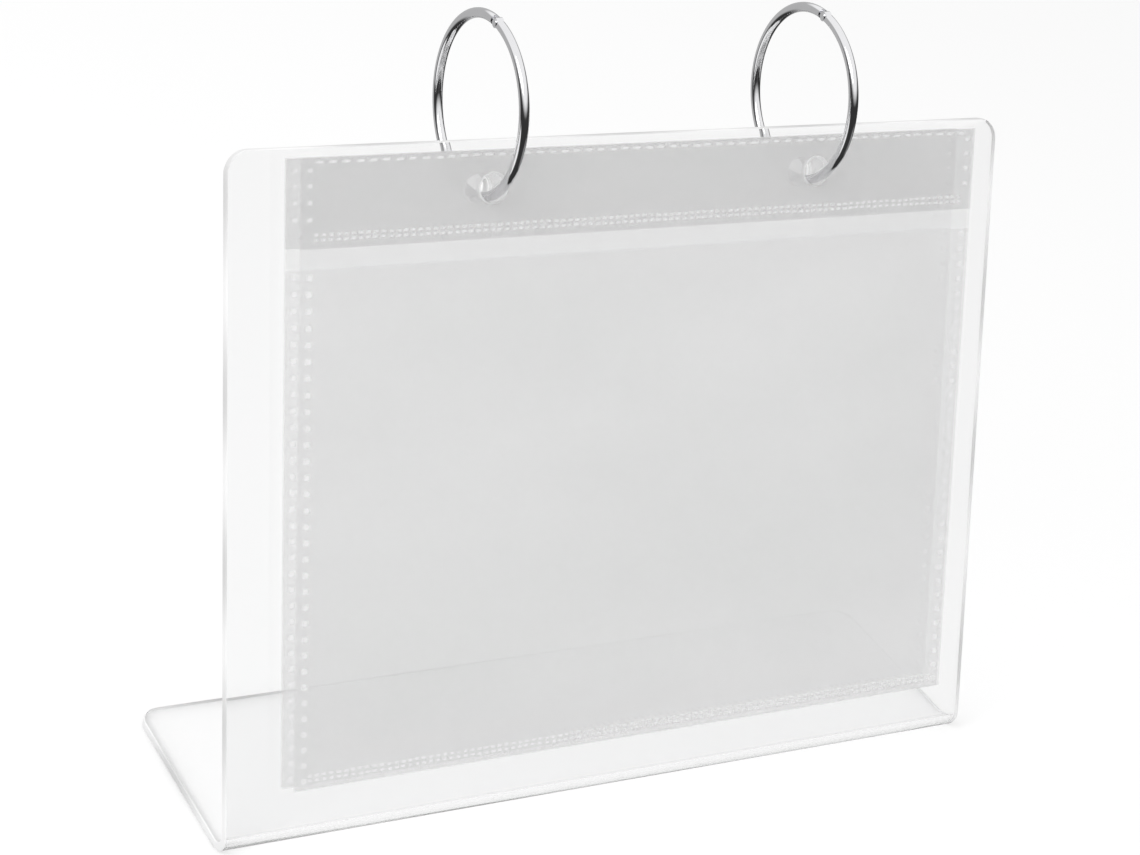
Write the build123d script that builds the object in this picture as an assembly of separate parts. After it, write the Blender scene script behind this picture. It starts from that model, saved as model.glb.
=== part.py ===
from build123d import *
import math
import os

os.makedirs("parts", exist_ok=True)

# A photo album stand: one bent acrylic sheet, two book rings through its top, and film
# pages that hang on the rings. Millimetres. +X along the width, +Y to the back, +Z up.
# The origin is on the floor, in the middle of the whole object's footprint.

# Acrylic stand
STAND_WIDTH = 195.0
PANEL_LENGTH = 153.0  # along the slope, from the outer corner line to the top edge
BASE_DEPTH = 54.0  # from the outer corner line to the rear edge
SHEET = 2.0
LEAN = 19.0  # degrees that the panel leans back
BEND_RADIUS = 5.0  # outside of the bend
CORNER_RADIUS = 5.0
HOLE_SPACING = 82.0
PANEL_HOLE = 6.0
PANEL_HOLE_DROP = 10.0  # below the top edge, along the slope

# Book rings
RING_RADIUS = 19.2  # of the wire's centre line
WIRE = 2.2
RING_RISE = 7.5  # ring centre above the panel's top edge, along the slope
RING_FORWARD = 1.4  # ring centre in front of the panel's front face
HINGE_ANGLE = 158.0  # round the ring, from its lowest point towards the front
CLASP_ANGLE = HINGE_ANGLE - 180.0
EYE_THICKNESS = 0.82  # of each half's flattened hinge eye
LAP_GAP = 0.03  # between the two halves where they lap
LAP_LENGTH = 1.2  # each way from the middle of the clasp
LAP_END_GAP = 0.1  # a lapped tip stops this short of the other half
HINGE_REACH = 1.35  # full wire stops this far from the pin
PIN_RADIUS = 0.45
PIN_HEAD_RADIUS = 0.75
PIN_HEAD = 0.18
RUNNING_CLEARANCE = 0.03

# Film pages
PAGE_COUNT = 6
PAGE_WIDTH = 170.0
PAGE_LENGTH = 135.0
FILM = 0.15
HEADER_LENGTH = 18.6  # strip that carries the holes
POCKET_TOP = 23.2  # open edge of the pocket, below the page's top edge
PAGE_HOLE = 6.2
PAGE_HOLE_DROP = 8.0
PAGE_ON_WIRE = 1.7  # hole centre nearer the ring's centre than the wire is
PAGE_PITCH = 0.45

# The pages hang in two bundles, one flat on the panel and one further round the rings
REAR_FORWARD = 0.35  # holes of a bundle's rearmost page in front of the panel
FRONT_FORWARD = 5.5
FRONT_SHIFT = 1.0  # towards +X
FRONT_TILT = 0.3  # degrees that the pages stand off the slope

# Worked out
LEAN_SIN = math.sin(math.radians(LEAN))
LEAN_COS = math.cos(math.radians(LEAN))
RING_SLOPE = PANEL_LENGTH + RING_RISE  # ring centre, up the slope


def in_front_bundle(page):
    return page > PAGE_COUNT // 2


def page_shape(page):
    """A page's top edge, as a point (forward, up), and the direction down its rear face."""
    front = in_front_bundle(page)
    step = (page - 1) % (PAGE_COUNT // 2)
    forward = (FRONT_FORWARD if front else REAR_FORWARD) + step * PAGE_PITCH
    reach = RING_RADIUS - PAGE_ON_WIRE
    up = RING_SLOPE - math.sqrt(reach**2 - (forward - RING_FORWARD) ** 2)
    tilt = math.radians(FRONT_TILT if front else 0)
    down = Vector(-math.sin(tilt), -math.cos(tilt))
    return Vector(forward, up) - down * PAGE_HOLE_DROP, down


def page_point(shape, distance, out):
    """A point (forward, up) at a distance below a page's top edge, out from its rear face."""
    top, down = shape
    place = top + down * distance + Vector(-down.Y, down.X) * out
    return place.X, place.Y


# The front page's foot is the foremost point and the rings' backs are the rearmost
FOOT = page_point(page_shape(PAGE_COUNT), PAGE_LENGTH, 2 * FILM)
FRONTMOST_Y = FOOT[1] * LEAN_SIN - FOOT[0] * LEAN_COS
REARMOST_Y = RING_SLOPE * LEAN_SIN - RING_FORWARD * LEAN_COS + RING_RADIUS + WIRE / 2
CORNER_Y = -(FRONTMOST_Y + REARMOST_Y) / 2  # the outer corner line, from the origin

# Faces the front: x across, y up the slope, z out of the panel's front face
PANEL = Plane(origin=(0, CORNER_Y, 0), x_dir=(1, 0, 0), z_dir=(0, -LEAN_COS, LEAN_SIN))
# Seen from the +X side: x out of the panel's front face, y up the slope, z towards -X
PROFILE = Plane(origin=(0, CORNER_Y, 0), x_dir=(0, -LEAN_COS, LEAN_SIN), z_dir=(-1, 0, 0))


def save(solid, name):
    """Write one node's solid under its own name."""
    solid.label = name
    export_step(solid, f"parts/{name}.step")


def slab(outline, width):
    """A closed outline in the profile plane, carried across the width."""
    face = make_face(Polyline(*outline, close=True))
    return PROFILE.location * (Pos(0, 0, -width / 2) * extrude(face, amount=width))


def make_stand():
    """The acrylic sheet: leaning panel, bend and base, with the two ring holes."""
    height = PANEL_LENGTH * LEAN_COS
    inner = SHEET * (1 + LEAN_SIN) / LEAN_COS
    outline = [
        (CORNER_Y, 0),
        (CORNER_Y + PANEL_LENGTH * LEAN_SIN, height),
        (CORNER_Y + PANEL_LENGTH * LEAN_SIN + SHEET * LEAN_COS, height - SHEET * LEAN_SIN),
        (CORNER_Y + inner, SHEET),
        (CORNER_Y + BASE_DEPTH, SHEET),
        (CORNER_Y + BASE_DEPTH, 0),
    ]
    side = make_face(Polyline(*outline, close=True))
    outer_corner = side.vertices().sort_by_distance((CORNER_Y, 0))[0]
    side = fillet(outer_corner, BEND_RADIUS)
    inner_corner = side.vertices().sort_by_distance((CORNER_Y + inner, SHEET))[0]
    side = fillet(inner_corner, BEND_RADIUS - SHEET)
    upright_profile = Plane(origin=(-STAND_WIDTH / 2, 0, 0), x_dir=(0, 1, 0), z_dir=(1, 0, 0))
    sheet = upright_profile.location * extrude(side, amount=STAND_WIDTH)

    through_sheet = sheet.edges().filter_by(Axis(PANEL.origin, PANEL.z_dir))
    sheet = fillet(through_sheet, CORNER_RADIUS)
    upright = sheet.edges().filter_by(Axis.Z).group_by(Axis.Y)[-1]
    sheet = fillet(upright, CORNER_RADIUS)

    for x in (-HOLE_SPACING / 2, HOLE_SPACING / 2):
        drill = Pos(x, PANEL_LENGTH - PANEL_HOLE_DROP, 0) * Cylinder(PANEL_HOLE / 2, 4 * SHEET)
        sheet -= PANEL.location * drill
    return sheet


def wire_arc(start, end):
    """Ring wire from one angle to another, in the ring's own plane."""
    arc = Torus(RING_RADIUS, WIRE / 2, major_angle=end - start, align=None)
    return Rot(0, 0, start - 90) * arc


def at_hinge(solid):
    """Move a solid from the ring's centre to its hinge, in the ring's own plane."""
    return Rot(0, 0, HINGE_ANGLE - 90) * Pos(RING_RADIUS, 0, 0) * solid


def one_side(side, thickness):
    """A slab on one side of the ring's middle plane, which a half's lapped ends keep to."""
    block = Box(4 * RING_RADIUS, 4 * RING_RADIUS, thickness)
    return Pos(0, 0, side * (LAP_GAP / 2 + thickness / 2)) * block


def make_half_ring(side, clasp, hinge, eye_hole):
    """One half of a book ring, from its clasp to its hinge eye. Both ends lap on one side."""
    turn = 1 if hinge > clasp else -1
    lap = math.degrees(LAP_LENGTH / RING_RADIUS)
    tip = math.degrees((LAP_LENGTH - LAP_END_GAP) / RING_RADIUS)
    reach = math.degrees(HINGE_REACH / RING_RADIUS)
    low, high = sorted((clasp + turn * lap, hinge - turn * reach))
    half = wire_arc(low, high)
    low, high = sorted((clasp - turn * tip, clasp + turn * lap))
    half += wire_arc(low, high) & one_side(side, WIRE)
    low, high = sorted((hinge - turn * reach, hinge))
    half += wire_arc(low, high) & one_side(side, EYE_THICKNESS)
    eye_middle = side * (LAP_GAP / 2 + EYE_THICKNESS / 2)
    half += at_hinge(Pos(0, 0, eye_middle) * Cylinder(WIRE / 2, EYE_THICKNESS))
    half -= at_hinge(Cylinder(eye_hole, 2 * WIRE))
    return half


def make_hinge_pin():
    """The rivet that joins a ring's two halves, with a flat head at each end."""
    inside = LAP_GAP / 2 + EYE_THICKNESS
    pin = Cylinder(PIN_RADIUS, 2 * (inside + PIN_HEAD))
    for side, gap in ((1, 0), (-1, RUNNING_CLEARANCE)):
        middle = side * (inside + gap + (PIN_HEAD - gap) / 2)
        pin += Pos(0, 0, middle) * Cylinder(PIN_HEAD_RADIUS, PIN_HEAD - gap)
    return at_hinge(pin)


def place_ring(solid, x):
    """Stand a ring's piece in the panel's hole at x."""
    place = PROFILE.location * Pos(RING_FORWARD, RING_SLOPE, -x)
    return place * solid


def film_strip(shape, start, end, layer):
    """One film between two distances below the page's top edge, on a given layer."""
    rear, front = layer * FILM, (layer + 1) * FILM
    corners = [(start, rear), (end, rear), (end, front), (start, front)]
    return slab([page_point(shape, distance, out) for distance, out in corners], PAGE_WIDTH)


def punch(film, shape):
    """Cut the two ring holes, square to the page."""
    hole_forward, hole_up = page_point(shape, PAGE_HOLE_DROP, 0)
    down = shape[1]
    for x in (-HOLE_SPACING / 2, HOLE_SPACING / 2):
        across = Plane(origin=(hole_forward, hole_up, -x), z_dir=(-down.Y, down.X, 0))
        film -= PROFILE.location * (across.location * Cylinder(PAGE_HOLE / 2, PAGE_HOLE))
    return film


def make_page(page):
    """One page: a full-size back film, the header strip and the pocket film on it."""
    shape = page_shape(page)
    shift = FRONT_SHIFT if in_front_bundle(page) else 0
    films = {
        "back_film": punch(film_strip(shape, 0, PAGE_LENGTH, 0), shape),
        "header_strip": punch(film_strip(shape, 0, HEADER_LENGTH, 1), shape),
        "pocket_film": film_strip(shape, POCKET_TOP, PAGE_LENGTH, 1),
    }
    return {name: Pos(shift, 0, 0) * film for name, film in films.items()}


save(make_stand(), "stand")

for ring, hole_x in (("left", -HOLE_SPACING / 2), ("right", HOLE_SPACING / 2)):
    front_half = make_half_ring(1, CLASP_ANGLE, HINGE_ANGLE, PIN_RADIUS)
    rear_half = make_half_ring(-1, CLASP_ANGLE + 360, HINGE_ANGLE, PIN_RADIUS + RUNNING_CLEARANCE)
    save(place_ring(front_half, hole_x), f"{ring}_ring_front_half")
    save(place_ring(rear_half, hole_x), f"{ring}_ring_rear_half")
    save(place_ring(make_hinge_pin(), hole_x), f"{ring}_ring_hinge_pin")

for number in range(1, PAGE_COUNT + 1):
    for film_name, film in make_page(number).items():
        save(film, f"page_{number}_{film_name}")
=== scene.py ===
import math

import bmesh
import bpy
from mathutils import Matrix, Vector, noise


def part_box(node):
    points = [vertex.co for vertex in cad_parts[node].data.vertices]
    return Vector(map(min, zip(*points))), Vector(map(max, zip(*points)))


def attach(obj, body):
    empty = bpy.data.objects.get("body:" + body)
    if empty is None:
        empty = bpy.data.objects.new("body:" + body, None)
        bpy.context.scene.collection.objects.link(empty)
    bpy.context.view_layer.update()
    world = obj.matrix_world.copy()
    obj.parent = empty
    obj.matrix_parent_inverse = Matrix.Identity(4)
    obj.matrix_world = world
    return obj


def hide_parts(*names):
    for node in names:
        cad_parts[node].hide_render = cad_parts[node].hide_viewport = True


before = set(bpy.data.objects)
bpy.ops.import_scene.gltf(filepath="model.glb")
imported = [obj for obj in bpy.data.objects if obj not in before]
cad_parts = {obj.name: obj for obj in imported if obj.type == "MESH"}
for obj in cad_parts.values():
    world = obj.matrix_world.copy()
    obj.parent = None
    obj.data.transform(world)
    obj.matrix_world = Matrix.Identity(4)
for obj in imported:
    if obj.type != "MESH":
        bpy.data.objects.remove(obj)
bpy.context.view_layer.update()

scene = bpy.context.scene


# Camera. The stand is seen from its left and a little above, with the camera held at a tilt.
# It aims at a point over the line where the bent sheet's two outer faces would meet.
BASE_DEPTH = 0.054
VIEW_AZIMUTH = math.radians(-34.33)
VIEW_ELEVATION = math.radians(29.27)
VIEW_ROLL = math.radians(12.64)
VIEW_DISTANCE = 0.575
AIM_X = -0.0356
AIM_Z = 0.1034
LENS = 88.35
corner_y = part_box("stand")[1].y - BASE_DEPTH
aim = Vector((AIM_X, corner_y, AIM_Z))
away = Vector((
    math.sin(VIEW_AZIMUTH) * math.cos(VIEW_ELEVATION),
    -math.cos(VIEW_AZIMUTH) * math.cos(VIEW_ELEVATION),
    math.sin(VIEW_ELEVATION),
))
level = Vector((math.cos(VIEW_AZIMUTH), math.sin(VIEW_AZIMUTH), 0))
upright = away.cross(level)
camera_x = level * math.cos(VIEW_ROLL) + upright * math.sin(VIEW_ROLL)
camera_y = upright * math.cos(VIEW_ROLL) - level * math.sin(VIEW_ROLL)
camera_data = bpy.data.cameras.new("camera")
camera_data.lens = LENS
camera_data.sensor_width = 36.0
camera_data.clip_start = 0.01
camera = bpy.data.objects.new("camera", camera_data)
scene.collection.objects.link(camera)
turn = Matrix((camera_x, camera_y, away)).transposed()
camera.matrix_world = Matrix.Translation(aim + away * VIEW_DISTANCE) @ turn.to_4x4()
scene.camera = camera
scene.view_settings.view_transform = "Standard"
scene.cycles.transparent_max_bounces = 96
scene.cycles.max_bounces = 32
scene.cycles.diffuse_bounces = 2
scene.cycles.glossy_bounces = 24
scene.cycles.transmission_bounces = 24


# Floor and light. A white table top that runs out of sight, in a white tent of soft light.
# Polished surfaces mirror a pale backdrop and ceiling, a dark room in front, and two windows.
FLOOR_SIZE = 8.0
FLOOR_DROP = 0.0001
FLOOR_WHITE = 0.88
WINDOW_WIDTH = 0.9
WINDOW_HEIGHT = 0.6
WINDOW_POWER = 6.0
WINDOW_PLACE = (-0.9, -0.5, 1.1)
WINDOW_AIM = (0, 0, 0.08)


def new_material(name):
    """A material with an empty node tree."""
    material = bpy.data.materials.new(name)
    material.use_nodes = True
    material.node_tree.nodes.clear()
    return material


def add(tree, kind, **settings):
    """One node. Each setting is a property, or an input named with its spaces as underscores."""
    node = tree.nodes.new(kind)
    for key, value in settings.items():
        if hasattr(node, key):
            setattr(node, key, value)
        else:
            node.inputs[key.replace("_", " ")].default_value = value
    return node


def remap(tree, source, start, end, low, high, kind="LINEAR"):
    """A value carried from one range to another."""
    node = add(tree, "ShaderNodeMapRange", interpolation_type=kind)
    for index, value in enumerate((start, end, low, high), start=1):
        node.inputs[index].default_value = value
    tree.links.new(source, node.inputs[0])
    return node.outputs[0]


def show(tree, shader):
    """Makes a shader the surface of its material."""
    output = add(tree, "ShaderNodeOutputMaterial")
    tree.links.new(shader.outputs[0], output.inputs["Surface"])


floor_mesh = bmesh.new()
bmesh.ops.create_grid(floor_mesh, x_segments=1, y_segments=1, size=FLOOR_SIZE / 2)
bmesh.ops.translate(floor_mesh, verts=floor_mesh.verts, vec=(0, 0, -FLOOR_DROP))
floor_data = bpy.data.meshes.new("floor")
floor_mesh.to_mesh(floor_data)
floor_mesh.free()
floor = bpy.data.objects.new("floor", floor_data)
scene.collection.objects.link(floor)
floor.visible_glossy = False
table_top = new_material("white_table")
tree = table_top.node_tree
matt = add(tree, "ShaderNodeBsdfDiffuse", Color=(FLOOR_WHITE, FLOOR_WHITE, FLOOR_WHITE, 1))
show(tree, matt)
floor_data.materials.append(table_top)

world = bpy.data.worlds.new("white_tent")
scene.world = world
world.use_nodes = True
tree = world.node_tree
tree.nodes.clear()
direction = add(tree, "ShaderNodeTexCoord").outputs["Generated"]


def glow(toward, start, end, strength):
    """How bright the mirrored room is towards one side: strength at its middle, 0 away from it."""
    facing = add(tree, "ShaderNodeVectorMath", operation="DOT_PRODUCT")
    tree.links.new(direction, facing.inputs[0])
    facing.inputs[1].default_value = Vector(toward).normalized()
    return remap(tree, facing.outputs["Value"], start, end, 0.0, strength, "SMOOTHSTEP")


# Ceiling, backdrop, left window, right window, and the dark rest of the room
room = None
for toward, start, end, strength in (
    ((0, 0, 1), 0.10, 0.50, 1.1),
    ((0, 1, 0), 0.25, 0.60, 0.55),
    ((-0.86, -0.13, -0.49), 0.93, 0.97, 1.1),
    ((0.75, -0.45, -0.49), 0.95, 0.99, 0.3),
    ((0, 0, 1), -1.1, -1.0, 0.04),
):
    patch = glow(toward, start, end, strength)
    if room is not None:
        brighter = add(tree, "ShaderNodeMath", operation="MAXIMUM")
        tree.links.new(room, brighter.inputs[0])
        tree.links.new(patch, brighter.inputs[1])
        patch = brighter.outputs[0]
    room = patch
path = add(tree, "ShaderNodeLightPath")
mirrored = add(tree, "ShaderNodeMath", operation="SUBTRACT", use_clamp=True)
tree.links.new(path.outputs["Is Glossy Ray"], mirrored.inputs[0])
tree.links.new(path.outputs["Is Transmission Ray"], mirrored.inputs[1])
brightness = add(tree, "ShaderNodeMix", data_type="FLOAT")
brightness.inputs[2].default_value = 1.0
tree.links.new(mirrored.outputs[0], brightness.inputs[0])
tree.links.new(room, brightness.inputs[3])
tent = add(tree, "ShaderNodeBackground", Color=(1, 1, 1, 1))
tree.links.new(brightness.outputs[0], tent.inputs["Strength"])
output = add(tree, "ShaderNodeOutputWorld")
tree.links.new(tent.outputs[0], output.inputs["Surface"])

lamp_data = bpy.data.lights.new("window", "AREA")
lamp_data.shape = "RECTANGLE"
lamp_data.size, lamp_data.size_y = WINDOW_WIDTH, WINDOW_HEIGHT
lamp_data.energy = WINDOW_POWER
lamp = bpy.data.objects.new("window", lamp_data)
lamp.location = WINDOW_PLACE
from_aim = Vector(lamp.location) - Vector(WINDOW_AIM)
lamp.rotation_euler = from_aim.to_track_quat("Z", "Y").to_euler()
scene.collection.objects.link(lamp)


# Stand. One 2 mm sheet of clear cast acrylic, sawn to shape, heated along a line and bent over
# a bar. Its faces are polished, its edges are sawn, and its arrises are just broken.
ARRIS = 0.00025
MERGE = 0.000001
SAW_PITCH = 0.004
END_TURN = 0.2  # a face's normal leans at least this far sideways on a cut end
SHEET = 0.002
LEAN = math.radians(19)
PANEL_UP = Vector((0, math.sin(LEAN), math.cos(LEAN)))
EDGE_REACH = 1.2 * ARRIS  # takes in a cut edge and the arris beside it
SAWN_FINISH = 1  # the sheet's second material
ACRYLIC_IOR = 1.49
ACRYLIC_TINT = (0.955, 0.956, 0.957, 1)
LIGHT_THROUGH = (0.99, 0.99, 0.99, 1)
SAWN_DARK = (0.60, 0.60, 0.60, 1)
SAWN_PALE = (0.82, 0.82, 0.82, 1)


def new_piece(name, mesh_builder, body, material):
    """Makes an object of a bmesh, gives it a material, and rides it on its CAD body."""
    mesh = bpy.data.meshes.new(name)
    mesh_builder.to_mesh(mesh)
    mesh_builder.free()
    mesh.materials.append(material)
    piece = bpy.data.objects.new(name, mesh)
    scene.collection.objects.link(piece)
    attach(piece, body)
    return piece


acrylic = new_material("clear_acrylic")
tree = acrylic.node_tree
coordinates = add(tree, "ShaderNodeTexCoord")
wiping = add(tree, "ShaderNodeTexNoise", Scale=35.0, Detail=6.0, Roughness=0.6)
tree.links.new(coordinates.outputs["Object"], wiping.inputs["Vector"])
face_gloss = remap(tree, wiping.outputs["Fac"], 0.4, 0.8, 0.0, 0.03)
glass = add(tree, "ShaderNodeBsdfPrincipled", Base_Color=ACRYLIC_TINT, IOR=ACRYLIC_IOR)
glass.inputs["Transmission Weight"].default_value = 1.0
tree.links.new(face_gloss, glass.inputs["Roughness"])
clear = add(tree, "ShaderNodeBsdfTransparent", Color=LIGHT_THROUGH)
path = add(tree, "ShaderNodeLightPath")
solid = glass
for kind_of_ray in ("Is Shadow Ray", "Is Diffuse Ray"):
    lets_light_by = add(tree, "ShaderNodeMixShader")
    tree.links.new(path.outputs[kind_of_ray], lets_light_by.inputs[0])
    tree.links.new(solid.outputs[0], lets_light_by.inputs[1])
    tree.links.new(clear.outputs[0], lets_light_by.inputs[2])
    solid = lets_light_by
show(tree, solid)

sawn = new_material("sawn_acrylic")
tree = sawn.node_tree
coordinates = add(tree, "ShaderNodeTexCoord")
chatter = add(tree, "ShaderNodeTexWave", wave_type="BANDS", bands_direction="DIAGONAL")
chatter.inputs["Scale"].default_value = 1 / (SAW_PITCH * 20)
chatter.inputs["Distortion"].default_value = 3.0
chatter.inputs["Detail"].default_value = 2.0
tree.links.new(coordinates.outputs["Object"], chatter.inputs["Vector"])
frost = add(tree, "ShaderNodeMix", data_type="RGBA")
frost.inputs[6].default_value = SAWN_DARK
frost.inputs[7].default_value = SAWN_PALE
tree.links.new(chatter.outputs["Fac"], frost.inputs[0])
chatter_bump = add(tree, "ShaderNodeBump", Strength=0.6, Distance=0.0002)
tree.links.new(chatter.outputs["Fac"], chatter_bump.inputs["Height"])
matt_edge = add(tree, "ShaderNodeBsdfPrincipled", IOR=ACRYLIC_IOR, Roughness=0.45)
tree.links.new(frost.outputs[2], matt_edge.inputs["Base Color"])
tree.links.new(chatter_bump.outputs[0], matt_edge.inputs["Normal"])
show(tree, matt_edge)

sheet = bmesh.new()
sheet.from_mesh(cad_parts["stand"].data)
bmesh.ops.remove_doubles(sheet, verts=sheet.verts, dist=MERGE)
bmesh.ops.dissolve_limit(
    sheet, angle_limit=math.radians(0.5), verts=sheet.verts, edges=sheet.edges
)
arrises = [edge for edge in sheet.edges if edge.calc_face_angle(0) > math.radians(60)]
bmesh.ops.bevel(
    sheet, geom=arrises, offset=ARRIS, segments=2, profile=0.5, affect="EDGES", material=-1
)
stand_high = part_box("stand")[1]
panel_top = max(vertex.co.dot(PANEL_UP) for vertex in sheet.verts)
for face in sheet.faces:
    face.smooth = True
    at = face.calc_center_median()
    at_top = at.dot(PANEL_UP) > panel_top - EDGE_REACH
    at_rear = at.y > stand_high.y - EDGE_REACH and at.z < SHEET
    if abs(face.normal.x) > END_TURN or at_top or at_rear:
        face.material_index = SAWN_FINISH
stand = new_piece("acrylic_stand", sheet, "stand", acrylic)
stand.data.materials.append(sawn)
stand.data.set_sharp_from_angle(angle=math.radians(25))
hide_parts("stand")


# Rings. Two steel book rings, each of two wire halves on a rivet, bright nickel-chrome plated.
# The plate is smooth, with faint drawing lines along the wire and a little haze from handling.
CHROME_BRIGHT = (0.8, 0.8, 0.815, 1)
CHROME_HAZED = (0.7, 0.7, 0.71, 1)

chrome = new_material("ring_chrome")
tree = chrome.node_tree
coordinates = add(tree, "ShaderNodeTexCoord")
haze = add(tree, "ShaderNodeTexNoise", Scale=180.0, Detail=5.0)
tree.links.new(coordinates.outputs["Object"], haze.inputs["Vector"])
polish = remap(tree, haze.outputs["Fac"], 0.3, 0.75, 0.035, 0.13)
drawing = add(tree, "ShaderNodeTexNoise", Scale=900.0, Detail=3.0)
tree.links.new(coordinates.outputs["Object"], drawing.inputs["Vector"])
drawn = add(tree, "ShaderNodeBump", Strength=0.12, Distance=0.00003)
tree.links.new(drawing.outputs["Fac"], drawn.inputs["Height"])
tint = add(tree, "ShaderNodeMix", data_type="RGBA")
tint.inputs[6].default_value = CHROME_BRIGHT
tint.inputs[7].default_value = CHROME_HAZED
tree.links.new(haze.outputs["Fac"], tint.inputs[0])
plate = add(tree, "ShaderNodeBsdfPrincipled", Metallic=1.0)
tree.links.new(tint.outputs[2], plate.inputs["Base Color"])
tree.links.new(polish, plate.inputs["Roughness"])
tree.links.new(drawn.outputs[0], plate.inputs["Normal"])
show(tree, plate)

for side in ("left", "right"):
    for part in ("front_half", "rear_half", "hinge_pin"):
        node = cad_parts[f"{side}_ring_{part}"]
        node.data.materials.clear()
        node.data.materials.append(chrome)


# Pages. Each is three sheets of translucent polypropylene film, welded along rows of dots: a
# full-size back film, a header strip with the ring holes, and a pocket open at its top edge.
PAGE_COUNT = 6
FILM = 0.00015
FILM_SHOWN = 0.00012  # the film's own thickness, which leaves air between the layers
HEADER_LENGTH = 0.0186
POCKET_TOP = 0.0232
HOLE_DROP = 0.008
HOLE_RADIUS = 0.0031
HOLE_SIDES = 48
GRID = 0.0025
hole_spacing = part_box("right_ring_front_half")[0].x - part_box("left_ring_front_half")[0].x
WELD_REACH = 0.0035  # from a page's edge, over which its films are held together
PUCKER = 0.00003
FRONT_PUCKER = 0.0006
LIFT_REACH = 0.006  # over which a film lifts, inward of its welds
FOLD_SLANT = 0.35
FOLD_LENGTH = 0.045
FOLD_PITCH = 0.011
FOLD_FADE = 0.03
SWELL_LENGTH = 0.06
SWELL_PITCH = 0.05
SWELL_SHARE = 0.6
FILM_IOR = 1.49
STREAK_TURN = math.radians(35)
CLOUD_SCALE = 13.0
GRAIN_SCALE = 1400.0
CLOUD_AND_PUCKER_SHADE = 0.86  # the film colour's darkest parts, against its colour: partly the film's own cloudiness, partly painted shade of its pucker streaks
CUTTER_DEPTH = 0.004


def grain_group():
    """Cloudiness and grain of cast film, shared by the film and its welds, stretched and slanted
    into streaks. Where the cloud darkens the colour, it is partly the film's own cloudiness and
    partly painted shade of pucker streaks.
    """
    group = bpy.data.node_groups.new("film_grain", "ShaderNodeTree")
    face = group.interface
    face.new_socket("Cloud_Scale", in_out="INPUT", socket_type="NodeSocketFloat")
    face.new_socket("Grain_Scale", in_out="INPUT", socket_type="NodeSocketFloat")
    face.new_socket("Cloud", in_out="OUTPUT", socket_type="NodeSocketFloat")
    face.new_socket("Grain", in_out="OUTPUT", socket_type="NodeSocketFloat")
    start = add(group, "NodeGroupInput")
    place = add(group, "ShaderNodeTexCoord")
    slanted_streaks = add(group, "ShaderNodeMapping", Rotation=(0, STREAK_TURN, 0), Scale=(1, 1, 2.6))
    group.links.new(place.outputs["Object"], slanted_streaks.inputs["Vector"])
    end = add(group, "NodeGroupOutput")
    for scale, result, detail in (("Cloud_Scale", "Cloud", 1.0), ("Grain_Scale", "Grain", 0.0)):
        pattern = add(group, "ShaderNodeTexNoise", Detail=detail)
        group.links.new(slanted_streaks.outputs["Vector"], pattern.inputs["Vector"])
        group.links.new(start.outputs[scale], pattern.inputs["Scale"])
        group.links.new(pattern.outputs["Fac"], end.inputs[result])
    return group


film_grain = grain_group()


def film_material(name, colour, thin, dense, gloss):
    """Milky film that hides from thin to dense of what is behind each of its faces."""
    material = new_material(name)
    tree = material.node_tree
    grain = add(tree, "ShaderNodeGroup")
    grain.node_tree = film_grain
    grain.inputs["Cloud_Scale"].default_value = CLOUD_SCALE
    grain.inputs["Grain_Scale"].default_value = GRAIN_SCALE
    # The colour darkens where the cloud value is low: partly the film's own cloudiness, partly
    # painted shade of pucker streaks.
    shade = add(tree, "ShaderNodeMix", data_type="RGBA")
    shade.inputs[6].default_value = (*[channel * CLOUD_AND_PUCKER_SHADE for channel in colour], 1)
    shade.inputs[7].default_value = (*colour, 1)
    tree.links.new(grain.outputs["Cloud"], shade.inputs[0])
    satin = add(tree, "ShaderNodeBump", Strength=0.15, Distance=0.00002)
    tree.links.new(grain.outputs["Grain"], satin.inputs["Height"])
    face = add(tree, "ShaderNodeBsdfPrincipled", IOR=FILM_IOR, Roughness=gloss)
    tree.links.new(shade.outputs[2], face.inputs["Base Color"])
    tree.links.new(satin.outputs[0], face.inputs["Normal"])
    hiding = remap(tree, grain.outputs["Cloud"], 0.3, 0.7, thin, dense)
    tree.links.new(hiding, face.inputs["Alpha"])
    show(tree, face)
    return material


# The film colours are darker than the film itself. This is painted shade that the stacked films
# would cast on each other, which they don't cast here. The header strip's still darker copy of the
# film is painted shade where the header tilts and bulges.
page_film = film_material("page_film", (0.65, 0.65, 0.65), 0.09, 0.12, 0.36)
shaded_header_film = film_material("shaded_header_film", (0.50, 0.50, 0.50), 0.11, 0.15, 0.36)
weld_film = film_material("weld_film", (0.80, 0.80, 0.80), 0.28, 0.40, 0.22)


def let_light_by(piece):
    """The tent's soft light reaches through the stack of films unhindered: none casts a shadow or
    blocks bounced light, so none shades the others. Their shade on each other is painted into the
    film colours instead.
    """
    piece.visible_shadow = False
    piece.visible_diffuse = False


def page_place(number):
    """A page's width and length, and where it lies: x across, y up it, z out of its face."""
    points = [v.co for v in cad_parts[f"page_{number}_back_film"].data.vertices]
    foot = min(points, key=lambda point: point.z)
    head = max(points, key=lambda point: point.z)
    low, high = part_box(f"page_{number}_back_film")
    span = math.hypot(head.y - foot.y, head.z - foot.z)
    length = math.sqrt(span**2 - FILM**2)
    lean = math.atan2(head.y - foot.y, head.z - foot.z) + math.atan2(FILM, length)
    up = Vector((0, math.sin(lean), math.cos(lean)))
    out = Vector((0, -math.cos(lean), math.sin(lean)))
    top = Vector(((low.x + high.x) / 2, foot.y, foot.z)) + up * length
    turn = Matrix((Vector((1, 0, 0)), up, out)).transposed().to_4x4()
    return high.x - low.x, length, Matrix.Translation(top) @ turn


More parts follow.
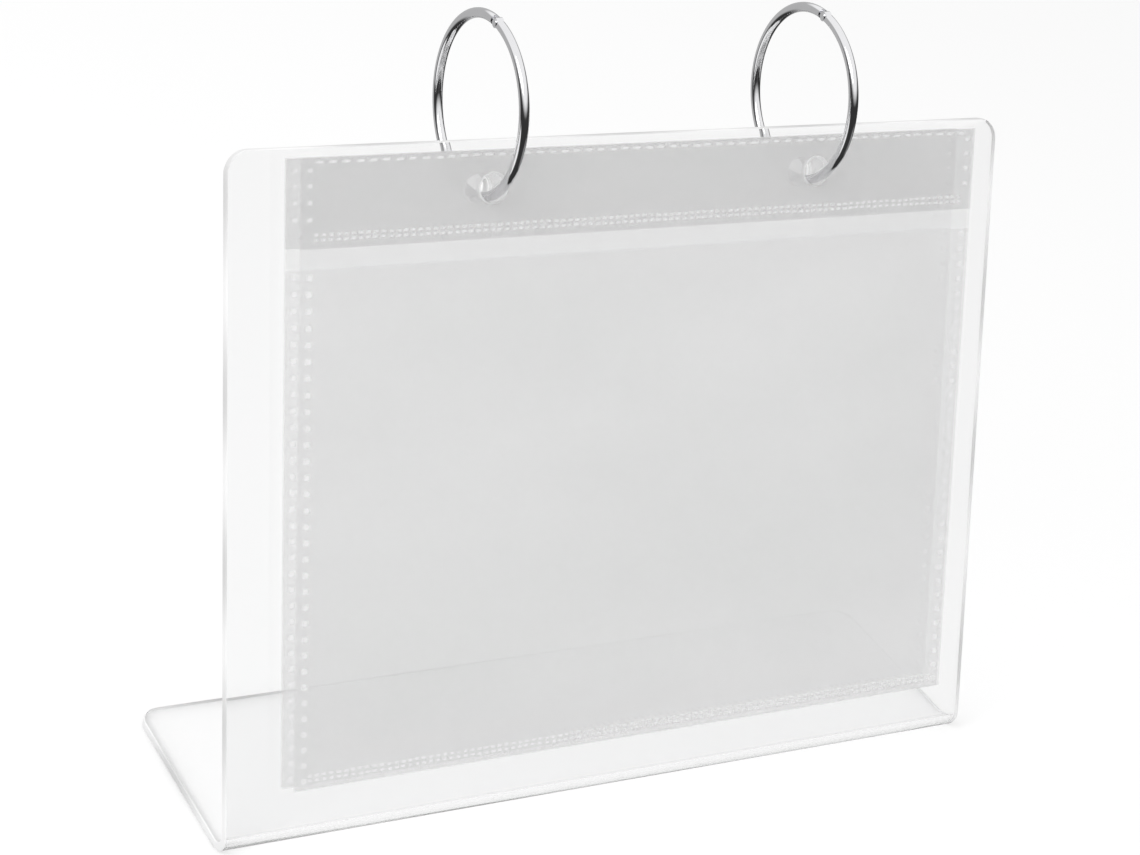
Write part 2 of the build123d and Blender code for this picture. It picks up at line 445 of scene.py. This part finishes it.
def pucker(across, down, width, length, number, amount):
    """How far the film stands out, from puckers that fan in from the welded edges."""
    edge = max(width / 2 - abs(across) - WELD_REACH, 0)
    foot = max(length - down - WELD_REACH, 0)
    held = min(edge / LIFT_REACH, 1) * min(foot / LIFT_REACH, 1)
    fan = down + FOLD_SLANT * abs(across) * (1 if down < length / 2 else -1)
    folds = noise.noise(Vector((across / FOLD_LENGTH, fan / FOLD_PITCH, number * 3.7)))
    swell = noise.noise(Vector((across / SWELL_LENGTH, down / SWELL_PITCH, number * 1.3 + 9)))
    return amount * held * (1 + folds * math.exp(-edge / FOLD_FADE) + SWELL_SHARE * swell) / 2


def make_film(number, start, end, layer, amount):
    """One film, gridded, puckered and thickened, on the page's own axes, and the page's place."""
    width, length, place = page_place(number)
    columns, rows = round(width / GRID), max(round((end - start) / GRID), 2)
    film = bmesh.new()
    bmesh.ops.create_grid(film, x_segments=columns, y_segments=rows, size=0.5)
    bmesh.ops.scale(film, verts=film.verts, vec=(width, end - start, 1))
    bmesh.ops.translate(film, verts=film.verts, vec=(0, -(start + end) / 2, 0))
    back = layer * FILM + (FILM - FILM_SHOWN) / 2
    for vertex in film.verts:
        vertex.co.z = back + pucker(vertex.co.x, -vertex.co.y, width, length, number, amount)
    sheet_faces = list(film.faces)
    bmesh.ops.solidify(film, geom=sheet_faces, thickness=-FILM_SHOWN)
    bmesh.ops.recalc_face_normals(film, faces=film.faces)
    return film, place


def punch_holes(film_piece, place):
    """Cuts the two ring holes through a finished film."""
    cutter = bmesh.new()
    for across in (-hole_spacing / 2, hole_spacing / 2):
        at = Matrix.Translation((across, -HOLE_DROP, 0))
        bmesh.ops.create_cone(
            cutter, segments=HOLE_SIDES, cap_ends=True, radius1=HOLE_RADIUS, radius2=HOLE_RADIUS,
            depth=CUTTER_DEPTH, matrix=at,
        )
    bmesh.ops.transform(cutter, matrix=place, verts=cutter.verts)
    cutter_mesh = bpy.data.meshes.new("cutter")
    cutter.to_mesh(cutter_mesh)
    cutter.free()
    cutter_object = bpy.data.objects.new("cutter", cutter_mesh)
    scene.collection.objects.link(cutter_object)
    boolean = film_piece.modifiers.new("ring_holes", "BOOLEAN")
    boolean.operation = "DIFFERENCE"
    boolean.solver = "EXACT"
    boolean.object = cutter_object
    bpy.context.view_layer.update()
    evaluated = film_piece.evaluated_get(bpy.context.evaluated_depsgraph_get())
    cut = bpy.data.meshes.new_from_object(evaluated)
    film_piece.modifiers.clear()
    film_piece.data = cut
    bpy.data.objects.remove(cutter_object)


for number in range(1, PAGE_COUNT + 1):
    length = page_place(number)[1]
    puckers = FRONT_PUCKER if number == PAGE_COUNT else PUCKER
    for part, start, end, layer, amount in (
        ("back_film", 0, length, 0, 0.0),
        ("header_strip", 0, HEADER_LENGTH, 1, 0.0),
        ("pocket_film", POCKET_TOP, length, 1, puckers),
    ):
        film, place = make_film(number, start, end, layer, amount)
        bmesh.ops.transform(film, matrix=place, verts=film.verts)
        name = f"film_{number}_{part}"
        finish = shaded_header_film if part == "header_strip" else page_film
        piece = new_piece(name, film, f"page_{number}", finish)
        if part != "pocket_film":
            punch_holes(piece, place)
        for face in piece.data.polygons:
            face.use_smooth = True
        piece.data.set_sharp_from_angle(angle=math.radians(30))
        let_light_by(piece)
        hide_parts(f"page_{number}_{part}")


# Welds. The films are joined by a heated toothed wheel, which leaves rows of small pressed
# pads down the sides and fine double rows across the header and the foot of each pocket.
SIDE_PAD = 0.0013
SIDE_PITCH = 0.0035
SIDE_INSET = 0.0019
HEADER_PITCH = 0.0030
FINE_PITCH = 0.0017
HEADER_WELD = 0.0157
TOP_WELD = 0.0009
FOOT_MARGIN = 0.0030
ROW_GAP = 0.0011
RIM = 0.00035
RIM_FLATTEN = 0.8
PAD_ROUNDING = 0.22
PAD_CLEARANCE = 0.00001
TOP_PAD = (0.0017, 0.0006)
FINE_PAD = (0.0009, 0.0006)
DRIFT_LENGTH = 0.004  # over which the wheel wanders
DRIFT_ACROSS = 0.0003
DRIFT_DOWN = 0.00015
HEADER_PADS = (0.0025, 0.0057, 0.0091, 0.0126)  # down from the page's top edge


def pad_template():
    """One pressed pad of unit size, with its arrises rounded over."""
    pad = bmesh.new()
    bmesh.ops.create_cube(pad, size=1)
    bmesh.ops.bevel(
        pad, geom=pad.edges, offset=PAD_ROUNDING, segments=1, profile=0.5, affect="EDGES",
        material=-1,
    )
    mesh = bpy.data.meshes.new("pad")
    pad.to_mesh(mesh)
    pad.free()
    return mesh


pad_mesh = pad_template()


def press(welds, across, down, wide, tall):
    """Adds one pad over both film layers."""
    pad = pad_mesh.copy()
    size = Matrix.Diagonal((wide, tall, 2 * FILM - PAD_CLEARANCE, 1))
    pad.transform(Matrix.Translation((across, -down, FILM)) @ size)
    welds.from_mesh(pad)
    bpy.data.meshes.remove(pad)


def press_row(welds, half_width, down, pitch, wide, tall):
    """A row of pads across the page, as irregular as a hand-fed wheel leaves it."""
    count = int(2 * half_width / pitch)
    for index in range(count + 1):
        across = (index - count / 2) * pitch
        drift = noise.noise(Vector((across / DRIFT_LENGTH, down * 900, 0.5)))
        press(welds, across + drift * DRIFT_ACROSS, down + drift * DRIFT_DOWN, wide, tall)


def rim_mesh():
    """The raised lip that the punch leaves round a ring hole, as a ring about the z axis."""
    lip = bmesh.new()
    beside_hole = Matrix.Translation((HOLE_RADIUS + RIM / 2, 0, 0))
    upright_circle = beside_hole @ Matrix.Rotation(math.pi / 2, 4, "X")
    bmesh.ops.create_circle(lip, segments=8, radius=RIM / 2, matrix=upright_circle)
    bmesh.ops.spin(
        lip, geom=lip.verts[:] + lip.edges[:], cent=(0, 0, 0), axis=(0, 0, 1), dvec=(0, 0, 0),
        angle=2 * math.pi, steps=40, use_merge=True,
    )
    bmesh.ops.remove_doubles(lip, verts=lip.verts, dist=MERGE)
    bmesh.ops.scale(lip, verts=lip.verts, vec=(1, 1, RIM_FLATTEN))
    mesh = bpy.data.meshes.new("rim")
    lip.to_mesh(mesh)
    lip.free()
    return mesh


width, length, place = page_place(1)
welds = bmesh.new()
side = width / 2 - SIDE_INSET
side_pads = int((length - POCKET_TOP - 2 * SIDE_PAD) / SIDE_PITCH) + 1
for across in (-side, side):
    for index in range(side_pads):
        press(welds, across, POCKET_TOP + SIDE_PAD + index * SIDE_PITCH, SIDE_PAD, SIDE_PAD)
    for down in HEADER_PADS:
        press(welds, across, down, SIDE_PAD * 0.8, SIDE_PAD * 0.7)
row_reach = side - SIDE_PAD
press_row(welds, row_reach, TOP_WELD, HEADER_PITCH, *TOP_PAD)
for first_row in (HEADER_WELD, length - FOOT_MARGIN):
    for row in range(2):
        press_row(welds, row_reach, first_row + row * ROW_GAP, FINE_PITCH, *FINE_PAD)
for across in (-hole_spacing / 2, hole_spacing / 2):
    rim = rim_mesh()
    rim.transform(Matrix.Translation((across, -HOLE_DROP, FILM)))
    welds.from_mesh(rim)
bmesh.ops.recalc_face_normals(welds, faces=welds.faces)
for number in range(1, PAGE_COUNT + 1):
    page_welds = welds.copy()
    bmesh.ops.transform(page_welds, matrix=page_place(number)[2], verts=page_welds.verts)
    piece = new_piece(f"welds_{number}", page_welds, f"page_{number}", weld_film)
    let_light_by(piece)
welds.free()
